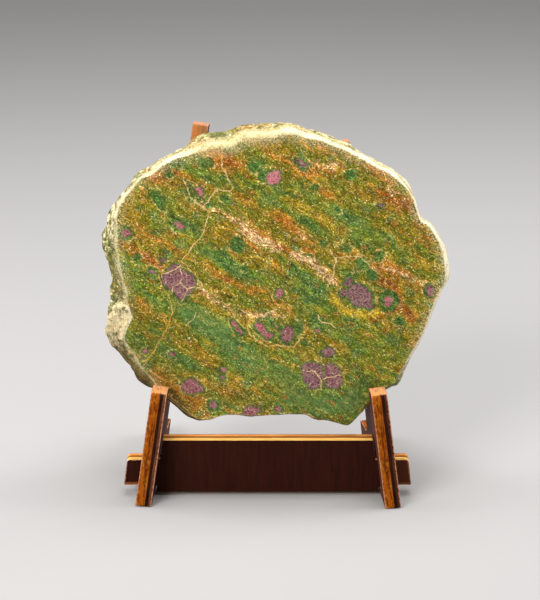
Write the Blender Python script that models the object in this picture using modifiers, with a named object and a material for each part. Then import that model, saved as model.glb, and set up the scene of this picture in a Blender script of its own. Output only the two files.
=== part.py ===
"""Ruby in zoisite slab on a small plywood easel.

Four separate pieces: the sawn and polished slab of rock with its rough natural rim, the two side
plates of the easel, and the crossbar whose tenons pass through both plates.
Metres, +Z up, +X to the right, the polished face looks towards -Y.
The origin is at the middle of the whole object's footprint, on the surface it stands on.
"""
import bpy
import bmesh
import numpy as np
from math import cos, pi, radians, sin, tan
from mathutils import Matrix, Vector

# ---------------------------------------------------------------- driving dimensions, millimetres
MM = 0.001
GAP = 0.3                     # clearance between pieces that touch

# easel
PLY = 5.3                     # thickness of a side plate
RAKE = 11.2                   # degrees, posts and uprights lean back, square to the seat
FOOT_HALF_SPAN = 39.5         # from the middle to the inner bottom corner of a front foot
POST_HEIGHT = 38.9            # front corner of the front post
POST_DEPTH = 8.6              # front to back across the front post
SEAT_Z = 30.9                 # seat at the back of the lip
SEAT_DEPTH = 14.0
UPRIGHT_DEPTH = 9.5
FOOT_LENGTH = 60.0
FOOT_END_HEIGHT = 7.0
FOOT_NECK_HEIGHT = 12.0
ARRIS = 0.35                  # small bevel along the sawn edges
SOLE_WEAR = 0.25              # how much of the lowest corner is worn flat
# side: (sign of x, lean inwards, rear turned inwards, front foot further forward, upright's height)
LEFT = {"sign": -1, "lean": 8.0, "toe": 3.0, "forward": 0.0, "tip": 121.8}
RIGHT = {"sign": 1, "lean": 6.6, "toe": 5.0, "forward": 1.5, "tip": 116.0}
MORTISE_SLACK = 0.5           # room round the tenon in its slot
MORTISE_FRONT_SLACK = 1.4     # more room in front of it, where the slot shows beside the bar

# crossbar
BAR_FRONT = 9.4               # its front face, behind the left front foot
BAR_THICKNESS = 5.2
BAR_BOTTOM = 1.4
BAR_TOP = 20.4
TENON_BOTTOM = 3.9
TENON_TOP = 13.3
TENON_REACH = 5.3             # how far a tenon shows outside its side plate
TENON_CORNER = 1.4

# slab
SLAB_THICKNESS = 12.0
SLAB_TILT = 10.8              # degrees, leans back on the uprights
SLAB_TURN = 1.8               # degrees, right end nearer the front, as the right plate stands
FACE_AT_SEAT = 15.0           # polished face behind the left front foot, at the seat's height
SLAB_CENTRE = (2.0, 45.0)
RIM_STEPS = 180               # points round the rim
# widest outline, to the right and up the polished face, from the seat's height at mid-width
OUTLINE = [
    (61.0, 44.2), (59.9, 50.3), (57.8, 56.1), (54.0, 61.2), (50.7, 63.6), (49.6, 67.5), (48.2, 71.1),
    (45.3, 76.0), (40.9, 79.5), (35.8, 82.2), (31.3, 84.8), (26.7, 87.5), (22.0, 89.6), (17.1, 91.4),
    (12.1, 92.7), (8.8, 94.3), (4.5, 94.8), (0.1, 94.2), (-7.5, 93.9), (-10.5, 93.4), (-13.7, 91.9),
    (-18.1, 91.2), (-22.3, 90.6), (-25.9, 88.4), (-28.9, 86.2), (-32.0, 84.5), (-36.7, 82.5),
    (-41.1, 79.5), (-44.4, 77.5), (-48.1, 72.7), (-52.2, 67.8), (-54.6, 62.0), (-56.6, 56.0),
    (-55.6, 49.8), (-53.8, 43.7), (-53.5, 37.8), (-54.6, 31.5), (-55.4, 25.5), (-54.6, 21.1),
    (-52.8, 18.1), (-49.5, 13.6), (-45.8, 8.5), (-40.9, 4.5), (-36.5, 2.9), (-32.8, 1.3), (-29.2, -0.9),
    (-25.7, -4.0), (-22.0, -5.8), (-19.3, -5.4), (-15.9, -4.3), (-10.8, -3.8), (-3.7, -4.2), (5.2, -3.6),
    (10.5, -3.1), (15.9, -3.5), (19.2, -4.3), (23.6, -5.8), (26.9, -7.0), (29.4, -5.5), (32.0, -2.7),
    (33.4, -0.3), (37.0, 3.0), (41.4, 6.2), (43.7, 7.3), (46.4, 12.5), (48.9, 17.7), (51.5, 22.8),
    (53.8, 28.1), (55.7, 33.5), (58.2, 39.1),
]
# round the rim, by degrees from the right, anticlockwise:
# (angle, rim seen from the front, depth of the widest place, rolled 1 or broken 0, roughness)
RIM = [
    (0, 1.8, 4.0, 0.7, 0.35), (24, 1.2, 5.0, 0.6, 0.40), (40, 2.0, 7.0, 0.7, 0.45),
    (56, 2.4, 8.0, 0.8, 0.40), (72, 3.0, 8.5, 0.9, 0.35), (88, 4.8, 9.0, 1.0, 0.45),
    (104, 4.6, 9.0, 1.0, 0.70), (120, 5.0, 9.0, 1.0, 0.60), (128, 2.6, 8.0, 0.8, 0.60),
    (144, 2.2, 7.0, 0.5, 0.60), (152, 1.6, 6.0, 0.3, 0.70), (161, 2.6, 6.0, 0.1, 0.90),
    (169, 6.4, 7.0, 0.0, 1.00), (184, 5.2, 7.0, 0.0, 1.10), (191, 6.2, 7.0, 0.0, 1.20),
    (198, 10.0, 7.5, 0.0, 1.10), (204, 6.9, 7.5, 0.0, 1.10), (213, 5.4, 7.0, 0.0, 1.00),
    (222, 4.4, 6.0, 0.1, 0.90), (231, 1.5, 3.0, 0.3, 0.60), (240, 0.8, 1.5, 0.4, 0.50),
    (300, 0.8, 1.5, 0.4, 0.50), (310, 1.2, 3.0, 0.3, 0.50), (320, 2.2, 4.0, 0.1, 0.70),
    (336, 1.6, 4.0, 0.3, 0.60), (348, 1.8, 4.0, 0.6, 0.40),
]
RING_DEPTHS = (0.0, 0.2, 0.7, 1.6, 3.0, 4.8, 6.6, 8.4, 10.2, 11.6, 12.0)
BACK_DRAW_IN = 1.2            # how far the rim draws in from its widest place to the back


# ---------------------------------------------------------------- shared helpers
def clear_scene():
    """Remove whatever the file opened with."""
    for item in list(bpy.data.objects):
        bpy.data.objects.remove(item, do_unlink=True)


def collection(name):
    """A new collection linked to the scene."""
    group = bpy.data.collections.new(name)
    bpy.context.scene.collection.children.link(group)
    return group


def material(name, colour, roughness):
    """A plain Principled material."""
    made = bpy.data.materials.new(name)
    made.use_nodes = True
    shader = made.node_tree.nodes["Principled BSDF"]
    shader.inputs["Base Color"].default_value = (*colour, 1.0)
    shader.inputs["Roughness"].default_value = roughness
    shader.inputs["Metallic"].default_value = 0.0
    return made


def rounded(corners, steps=5):
    """A closed outline from (x, y, radius) corners, each rounded by an arc of its radius."""
    outline = []
    count = len(corners)
    for i, (x, y, radius) in enumerate(corners):
        corner = Vector((x, y))
        if radius <= 0.0:
            outline.append(corner)
            continue
        before = (Vector(corners[i - 1][:2]) - corner).normalized()
        after = (Vector(corners[(i + 1) % count][:2]) - corner).normalized()
        half = before.angle(after) / 2.0
        reach = radius / tan(half)
        middle = corner + (before + after).normalized() * (radius / sin(half))
        start = corner + before * reach - middle
        end = corner + after * reach - middle
        sweep = start.angle_signed(end)
        for step in range(steps + 1):
            turn = Matrix.Rotation(-sweep * step / steps, 2)
            outline.append(middle + turn @ start)
    return outline


def flat_plate(name, outlines, thickness, group, place):
    """A flat outline, with any holes, given a thickness and put in place as a mesh."""
    curve = bpy.data.curves.new(name, "CURVE")
    curve.dimensions = "2D"
    curve.fill_mode = "BOTH"
    curve.extrude = thickness * MM / 2.0
    for outline in outlines:
        spline = curve.splines.new("POLY")
        spline.points.add(len(outline) - 1)
        for point, place_2d in zip(spline.points, outline):
            point.co = (place_2d.x * MM, place_2d.y * MM, 0.0, 1.0)
        spline.use_cyclic_u = True
    drawn = bpy.data.objects.new(name + "_outline", curve)
    group.objects.link(drawn)
    bpy.context.view_layer.update()
    evaluated = drawn.evaluated_get(bpy.context.evaluated_depsgraph_get())
    mesh = bpy.data.meshes.new_from_object(evaluated)
    bpy.data.objects.remove(drawn, do_unlink=True)
    shape = bmesh.new()
    shape.from_mesh(mesh)
    bmesh.ops.remove_doubles(shape, verts=shape.verts, dist=0.00001)
    bmesh.ops.recalc_face_normals(shape, faces=shape.faces)
    shape.to_mesh(mesh)
    shape.free()
    mesh.name = name
    plate = bpy.data.objects.new(name, mesh)
    group.objects.link(plate)
    plate.matrix_world = place
    return plate


def soften_edges(plate):
    """Take the sharp arris off the sawn edges."""
    bevel = plate.modifiers.new("arris", "BEVEL")
    bevel.width = ARRIS * MM
    bevel.segments = 2
    bevel.limit_method = "ANGLE"
    bevel.angle_limit = radians(40)


# ---------------------------------------------------------------- easel
def plate_axes(side):
    """Origin and axes of a side plate: back along it, up along it, and across it towards +X."""
    sign = side["sign"]
    toe = radians(side["toe"])
    lean = radians(side["lean"])
    back = Vector((-sign * sin(toe), cos(toe), 0.0))
    inwards = Vector((-sign * cos(toe), -sin(toe), 0.0))
    up = inwards * sin(lean) + Vector((0.0, 0.0, cos(lean)))
    across = back.cross(up)
    corner = Vector((sign * FOOT_HALF_SPAN, -side["forward"], -SOLE_WEAR))
    return corner, back, up, across


def plate_place(side):
    """World matrix of a side plate whose outline is drawn with x back and y up."""
    corner, back, up, across = plate_axes(side)
    middle = corner + across * (side["sign"] * PLY / 2.0)
    turn = Matrix((back, up, across)).transposed().to_4x4()
    return Matrix.Translation(middle * MM) @ turn


def face_corner(side, outer):
    """The bottom front corner of a side plate's inner or outer face."""
    corner, back, up, across = plate_axes(side)
    return corner + across * (side["sign"] * PLY if outer else 0.0)


def on_plate(side, y, z, outer):
    """Depth and height along a side plate's face of its point at world depth y and height z."""
    back, up = plate_axes(side)[1:3]
    start = face_corner(side, outer)
    height = (z - start.z) / up.z
    depth = (y - start.y - up.y * height) / back.y
    return depth, height


def face_x(side, y, z, outer):
    """How far to the right a side plate's face is, at world depth y and height z."""
    back, up = plate_axes(side)[1:3]
    depth, height = on_plate(side, y, z, outer)
    return face_corner(side, outer).x + back.x * depth + up.x * height


def side_outline(tip_height):
    """Side plate: foot, front post with its lip, seat, upright leaning back, rear foot."""
    slope = tan(radians(RAKE))
    down = sin(radians(RAKE))
    along = cos(radians(RAKE))
    lip_back = POST_DEPTH + SEAT_Z * slope
    seat_back = lip_back + SEAT_DEPTH * along
    seat_back_z = SEAT_Z - SEAT_DEPTH * down
    tip_front = seat_back + (tip_height - seat_back_z) * slope
    neck = seat_back + (FOOT_NECK_HEIGHT - seat_back_z) * slope + UPRIGHT_DEPTH / along
    return rounded([
        (0.0, 0.0, 0.6),
        (FOOT_LENGTH, 0.0, 1.0),
        (FOOT_LENGTH, FOOT_END_HEIGHT, 2.5),
        (neck, FOOT_NECK_HEIGHT, 8.0),
        (tip_front + UPRIGHT_DEPTH * along, tip_height - UPRIGHT_DEPTH * down, 0.8),
        (tip_front, tip_height, 0.8),
        (seat_back, seat_back_z, 1.2),
        (lip_back, SEAT_Z, 1.0),
        (POST_DEPTH + (POST_HEIGHT - 0.6) * slope, POST_HEIGHT - 0.6, 1.2),
        (POST_HEIGHT * slope, POST_HEIGHT, 2.4),
    ])


def mortise_outline(side):
    """The slot in a side plate: round the tenon where it enters and where it leaves the plate."""
    corners = [
        on_plate(side, y, z, outer)
        for y in (BAR_FRONT, BAR_FRONT + BAR_THICKNESS)
        for z in (TENON_BOTTOM, TENON_TOP)
        for outer in (False, True)
    ]
    front = min(depth for depth, height in corners) - MORTISE_FRONT_SLACK
    rear = max(depth for depth, height in corners) + MORTISE_SLACK
    low = min(height for depth, height in corners) - MORTISE_SLACK
    high = max(height for depth, height in corners) + MORTISE_SLACK
    return rounded([(front, low, 0.4), (rear, low, 0.4), (rear, high, 0.4), (front, high, 0.4)], steps=2)


def side_plate(name, side, finish, parts, cutters):
    """One side plate, leaning inwards, with its sole worn level where it stands."""
    outlines = [side_outline(side["tip"]), mortise_outline(side)]
    plate = flat_plate(name, outlines, PLY, parts, plate_place(side))
    plate.data.materials.append(finish)
    soften_edges(plate)
    floor_cut = bpy.data.objects.new(name + "_sole_cutter", sole_cutter_mesh(side["sign"]))
    cutters.objects.link(floor_cut)
    floor_cut.hide_render = True
    floor_cut.display_type = "WIRE"
    cut = plate.modifiers.new("level sole", "BOOLEAN")
    cut.operation = "DIFFERENCE"
    cut.solver = "EXACT"
    cut.object = floor_cut
    return plate


def sole_cutter_mesh(sign):
    """A block whose top is the surface the easel stands on."""
    width, length, height = 30.0, 90.0, 10.0
    mesh = bpy.data.meshes.new("sole_cutter")
    shape = bmesh.new()
    bmesh.ops.create_cube(shape, size=1.0)
    bmesh.ops.scale(shape, verts=shape.verts, vec=(width * MM, length * MM, height * MM))
    shift = Vector((sign * FOOT_HALF_SPAN, length / 2.0 - 12.0, -height / 2.0)) * MM
    bmesh.ops.translate(shape, verts=shape.verts, vec=shift)
    shape.to_mesh(mesh)
    shape.free()
    return mesh


def bar_end(side):
    """Corners of the crossbar at one side plate, from its bottom to its top, and their radii."""
    sign = side["sign"]
    rear = BAR_FRONT + BAR_THICKNESS
    shoulder_low = face_x(side, rear, BAR_BOTTOM, False) - sign * GAP
    shoulder_high = face_x(side, rear, BAR_TOP, False) - sign * GAP
    share_low = (TENON_BOTTOM - BAR_BOTTOM) / (BAR_TOP - BAR_BOTTOM)
    share_high = (TENON_TOP - BAR_BOTTOM) / (BAR_TOP - BAR_BOTTOM)
    root_low = shoulder_low + (shoulder_high - shoulder_low) * share_low
    root_high = shoulder_low + (shoulder_high - shoulder_low) * share_high
    end_low = face_x(side, BAR_FRONT, TENON_BOTTOM, True) + sign * TENON_REACH
    end_high = face_x(side, BAR_FRONT, TENON_TOP, True) + sign * TENON_REACH
    return [
        (shoulder_low, BAR_BOTTOM, 0.0),
        (root_low, TENON_BOTTOM, 0.0),
        (end_low, TENON_BOTTOM, 0.4),
        (end_high, TENON_TOP, TENON_CORNER),
        (root_high, TENON_TOP, 0.0),
        (shoulder_high, BAR_TOP, 0.3),
    ]


def crossbar(finish, parts):
    """The bar between the plates: shoulders follow their lean, tenons reach through them."""
    outline = rounded(bar_end(RIGHT) + bar_end(LEFT)[::-1])
    upright = Matrix(((1, 0, 0), (0, 0, -1), (0, 1, 0))).to_4x4()
    place = Matrix.Translation(Vector((0.0, BAR_FRONT + BAR_THICKNESS / 2.0, 0.0)) * MM) @ upright
    bar = flat_plate("crossbar", [outline], BAR_THICKNESS, parts, place)
    bar.data.materials.append(finish)
    soften_edges(bar)
    return bar


# ---------------------------------------------------------------- slab
def outline_radius(angles):
    """Distance from the slab's centre to its widest outline, by angle: a closed smooth curve."""
    points = np.array(OUTLINE) - np.array(SLAB_CENTRE)
    before, after, second = np.roll(points, 1, 0), np.roll(points, -1, 0), np.roll(points, -2, 0)
    t = np.linspace(0.0, 1.0, 8, endpoint=False)[:, None, None]
    curve = 0.5 * (2 * points + (after - before) * t
                   + (2 * before - 5 * points + 4 * after - second) * t ** 2
                   + (3 * points - before - 3 * after + second) * t ** 3)
    dense = curve.transpose(1, 0, 2).reshape(-1, 2)
    turn = np.arctan2(dense[:, 1], dense[:, 0]) % (2 * pi)
    order = np.argsort(turn)
    return np.interp(angles, turn[order], np.hypot(*dense.T)[order], period=2 * pi)


def rim_values(angles):
    """The columns of RIM at each angle, eased between the listed places."""
    table = np.array(RIM, dtype=float)
    places = np.radians(table[:, 0])
    return [np.interp(angles, places, table[:, k], period=2 * pi) for k in range(1, 5)]


def lumps(angles, depth):
    """Rough broken rock, about -1 to 1: waves round the rim that slant with depth."""
    waves = [
        (9, 0.30, 0.4, 0.40), (14, -0.45, 1.9, 0.35), (23, 0.60, 3.1, 0.30), (31, -0.85, 0.9, 0.25),
        (43, 1.10, 4.4, 0.20), (57, -1.40, 2.2, 0.14),
    ]
    total = np.zeros_like(angles)
    for count, slant, phase, height in waves:
        total += height * np.sin(count * angles + slant * depth + phase)
    return total


def rim_ring(angles, depth):
    """Distance from the centre to the surface, round the slab at one depth behind the face."""
    width, widest, rolled, rough = rim_values(angles)
    share = np.clip(depth / widest, 0.0, 1.0)
    roll = 1.0 - np.sqrt(np.clip(1.0 - (1.0 - share) ** 2, 0.0, 1.0))
    straight = 1.0 - share
    behind = np.clip((depth - widest) / (SLAB_THICKNESS - widest), 0.0, 1.0)
    ring = outline_radius(angles) - width * (rolled * roll + (1.0 - rolled) * straight)
    ring -= BACK_DRAW_IN * behind ** 2
    fade = min(1.0, depth / 2.0)
    ring += rough * fade * lumps(angles, depth)
    return ring


def slab(finish, parts):
    """Loft of rings from the polished face to the sawn back, closed by the two flat faces."""
    angles = np.linspace(0.0, 2 * pi, RIM_STEPS, endpoint=False)
    shape = bmesh.new()
    rings = []
    for depth in RING_DEPTHS:
        radius = rim_ring(angles, depth)
        across = SLAB_CENTRE[0] + radius * np.cos(angles)
        up = SLAB_CENTRE[1] + radius * np.sin(angles)
        rings.append([shape.verts.new((x * MM, depth * MM, z * MM)) for x, z in zip(across, up)])
    for front, rear in zip(rings, rings[1:]):
        for i in range(RIM_STEPS):
            j = (i + 1) % RIM_STEPS
            shape.faces.new((front[i], front[j], rear[j], rear[i]))
    shape.faces.new(rings[0])
    shape.faces.new(rings[-1][::-1])
    bmesh.ops.recalc_face_normals(shape, faces=shape.faces)
    mesh = bpy.data.meshes.new("ruby_zoisite_slab")
    shape.to_mesh(mesh)
    shape.free()
    stone = bpy.data.objects.new("ruby_zoisite_slab", mesh)
    parts.objects.link(stone)
    stone.data.materials.append(finish)
    tilt = Matrix.Rotation(-radians(SLAB_TILT), 4, "X")
    turn = Matrix.Rotation(-radians(SLAB_TURN), 4, "Z")
    stone.matrix_world = Matrix.Translation(Vector((0.0, FACE_AT_SEAT, SEAT_Z)) * MM) @ turn @ tilt
    return stone


# ---------------------------------------------------------------- the whole object
def centre_on_origin(pieces, cutters):
    """Move everything so that the footprint's middle is the origin and the soles are at z = 0."""
    bpy.context.view_layer.update()
    graph = bpy.context.evaluated_depsgraph_get()
    corners = []
    for piece in pieces:
        evaluated = piece.evaluated_get(graph)
        corners += [evaluated.matrix_world @ vertex.co for vertex in evaluated.data.vertices]
    low = Vector([min(corner[k] for corner in corners) for k in range(3)])
    high = Vector([max(corner[k] for corner in corners) for k in range(3)])
    shift = Matrix.Translation(-Vector(((low.x + high.x) / 2.0, (low.y + high.y) / 2.0, low.z)))
    for item in pieces + list(cutters.objects):
        item.matrix_world = shift @ item.matrix_world


def build():
    """Make the four pieces."""
    clear_scene()
    parts = collection("ruby_in_zoisite_on_easel")
    cutters = collection("cutters")
    wood = material("charred_edge_plywood", (0.36, 0.16, 0.04), 0.5)
    dark_wood = material("walnut_faced_plywood", (0.035, 0.015, 0.01), 0.5)
    rock = material("ruby_in_zoisite", (0.24, 0.21, 0.06), 0.25)
    pieces = [
        slab(rock, parts),
        side_plate("left_side", LEFT, wood, parts, cutters),
        side_plate("right_side", RIGHT, wood, parts, cutters),
        crossbar(dark_wood, parts),
    ]
    centre_on_origin(pieces, cutters)


build()
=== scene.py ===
"""Ruby in zoisite on its small plywood easel: the finish of every surface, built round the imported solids.

Sizes are in millimetres and angles in degrees where nothing else is said. Sizes become metres when a
mesh is made.
The stone is worked out in its own axes: x to the right along the face, h up the face from the seat's
height at mid-width, and depth back into the stone from the polished face.
"""
from functools import partial, reduce
from math import cos, pi, radians, sin, tan

import bpy
import numpy as np
from mathutils import Matrix, Vector


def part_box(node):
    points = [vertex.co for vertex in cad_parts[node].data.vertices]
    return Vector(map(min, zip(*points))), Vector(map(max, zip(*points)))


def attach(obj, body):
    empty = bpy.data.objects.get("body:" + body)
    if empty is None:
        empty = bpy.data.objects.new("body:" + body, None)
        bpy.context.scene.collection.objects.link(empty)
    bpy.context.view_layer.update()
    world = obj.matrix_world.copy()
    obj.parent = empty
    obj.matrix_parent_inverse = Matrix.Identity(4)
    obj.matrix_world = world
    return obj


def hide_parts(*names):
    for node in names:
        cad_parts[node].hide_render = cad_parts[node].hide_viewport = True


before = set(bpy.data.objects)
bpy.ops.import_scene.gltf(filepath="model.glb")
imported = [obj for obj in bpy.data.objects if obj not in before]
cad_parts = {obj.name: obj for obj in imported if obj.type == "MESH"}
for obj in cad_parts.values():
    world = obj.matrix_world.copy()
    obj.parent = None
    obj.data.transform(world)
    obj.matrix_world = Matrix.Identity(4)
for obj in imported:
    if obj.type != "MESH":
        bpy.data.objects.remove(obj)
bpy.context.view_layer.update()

MM = 0.001

# ---------------- where things are
BAR_FRONT_IN_STAND = 9.4                      # the crossbar's face behind the left front foot
FRONT_FOOT = Vector((-2.757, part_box("crossbar")[0].y / MM - BAR_FRONT_IN_STAND, 0.0))

# slab
SLAB_THICKNESS = 12.0
SLAB_TILT = 10.8
SLAB_TURN = 1.8
FACE_AT_SEAT = 15.0
SEAT_Z = 30.9
SLAB_CENTRE = (2.0, 45.0)
BACK_DRAW_IN = 1.2

# easel: each side plate leans in, toes in and stands forward a little, and has its own tip
PLY = 5.3
FOOT_HALF_SPAN = 39.5
SOLE_WEAR = 0.25
LEFT = {"sign": -1, "lean": 8.0, "toe": 3.0, "forward": 0.0, "tip": 121.8, "rim": (0.165, 0.056, 0.028)}
RIGHT = {"sign": 1, "lean": 6.6, "toe": 5.0, "forward": 1.5, "tip": 116.0, "rim": (0.085, 0.024, 0.012)}

# widest outline of the slab: x, h, x, h and so on
OUTLINE = [
    60.5, 44.2, 59.8, 50.3, 58, 56.1, 54.6, 61.4, 51.2, 63.8, 49.5, 67.5, 48.2, 71.1, 45.1, 75.9, 41.1,
    79.7, 36, 82.4, 31.5, 85.1, 26.8, 87.7, 22, 89.7, 17.2, 91.6, 12.1, 92.9, 8.8, 94.4, 4.5, 95.1, 0.1,
    94.6, -7.6, 94.3, -10.6, 93.7, -13.7, 91.8, -18.2, 91.3, -22.4, 90.8, -26.2, 88.9, -29.1, 86.5, -32.5,
    85.1, -36.9, 82.7, -40.9, 79.3, -44.6, 77.6, -48.2, 72.7, -52, 67.7, -54.3, 61.9, -56.9, 56, -56,
    49.8, -54.5, 43.7, -53.1, 37.8, -54.3, 31.6, -55.4, 25.5, -55.2, 20.9, -53.7, 17.7, -49.5, 13.6,
    -45.8, 8.5, -40.9, 4.5, -37.2, 2.1, -33.8, 0.1, -30.6, -2.4, -27, -4.7, -23.4, -6, -20.2, -5.8, -15.9,
    -4.4, -10.8, -3.8, -3.7, -4.2, 5.2, -3.6, 10.5, -3.1, 13.2, -3.6, 15.6, -4.7, 19.2, -5.3, 23.6, -6.2,
    26.9, -7, 29.4, -5.5, 32, -2.7, 33.4, -0.3, 37, 3, 41.4, 6.2, 43.7, 7.3, 46.4, 12.5, 48.9, 17.7, 51.5,
    22.8, 53.9, 28.1, 55.7, 33.5, 58.2, 39.1,
]
# round the rim: (angle from the right, width of the rim seen from the front, depth of the widest place,
# rolled 1 or broken 0, roughness)
RIM = [
    (0, 1.7, 4, 0.7, 0.3), (14, 1.4, 4, 0.7, 0.3), (24, 0.9, 5, 0.6, 0.35), (32, 0.7, 6, 0.6, 0.4),
    (40, 1.5, 7, 0.7, 0.45), (56, 1.8, 8, 0.8, 0.4), (72, 2.1, 8.5, 0.9, 0.35), (82, 2.8, 8.8, 1, 0.4),
    (90, 4.2, 9, 1, 0.45), (104, 4.6, 9, 1, 0.7), (120, 5, 9, 1, 0.6), (128, 2.6, 8, 0.8, 0.6),
    (144, 2.2, 7, 0.5, 0.6), (152, 1.6, 6, 0.3, 0.7), (161, 2.6, 6, 0.1, 0.9), (169, 6.4, 7, 0, 1),
    (184, 5.2, 7, 0, 1.1), (191, 6.2, 7, 0, 1.2), (198, 10, 7.5, 0, 1.1), (204, 6.9, 7.5, 0, 1.1),
    (213, 5.4, 7, 0, 1), (222, 4.4, 6, 0.1, 0.9), (230, 1.7, 4, 0, 0.6), (241, 1.2, 3.5, 0, 0.5),
    (248, 0.8, 2.5, 0.2, 0.5), (256, 0.7, 1.5, 0.4, 0.5), (280, 0.7, 1.5, 0.4, 0.5),
    (288, 1.2, 2.5, 0.1, 0.5), (296, 0.8, 1.5, 0.3, 0.5), (310, 1.1, 3, 0.3, 0.45),
    (320, 1.7, 4, 0.2, 0.4), (336, 1, 3, 0.5, 0.25), (348, 1.3, 4, 0.6, 0.25),
]
# round the rim: (angle, cream skin, rust, width of the pale edge, partly painted highlight, painted glare
# inside it)
RIND_TINTS = [
    (0, 0.95, 0.05, 3.2, 0.1), (14, 0.95, 0, 3.6, 0.1), (24, 0.9, 0, 2.8, 0.05),
    (32, 0.85, 0, 1.8, 0.05), (40, 0.75, 0.1, 3, 0.1), (56, 0.55, 0.2, 3, 0.25), (72, 0.5, 0.15, 3, 0.5),
    (88, 0.45, 0.1, 2.6, 0.8), (102, 0.24, 0.1, 2.4, 1), (118, 0.3, 0.15, 2.4, 0.85),
    (128, 0.5, 0.1, 2.1, 0.3), (144, 0.45, 0.15, 1.9, 0.1), (160, 0.5, 0.05, 1.9, 0.05),
    (170, 0.34, 0, 1.8, 0.05), (178, 0.02, 0, 2, 0.05), (188, 0.16, 0.1, 1.6, 0.05),
    (193, 0.5, 0.24, 1.2, 0.1), (198, 0.98, 0.36, 1, 0.2), (204, 0.62, 0.4, 0.6, 0.1),
    (213, 0.12, 0.52, 1.5, 0.05), (224, 0.1, 0.78, 1.3, 0), (236, 0.2, 0.75, 0.9, 0),
    (258, 0.3, 0.75, 0.7, 0), (266, 0.2, 0.9, 0.1, 0), (298, 0.25, 0.8, 0.1, 0), (312, 0.1, 0.3, 0.1, 0),
    (322, 0.4, 0.2, 0.8, 0), (338, 0.9, 0, 2, 0.05), (348, 1, 0, 2.8, 0.05),
]

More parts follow.
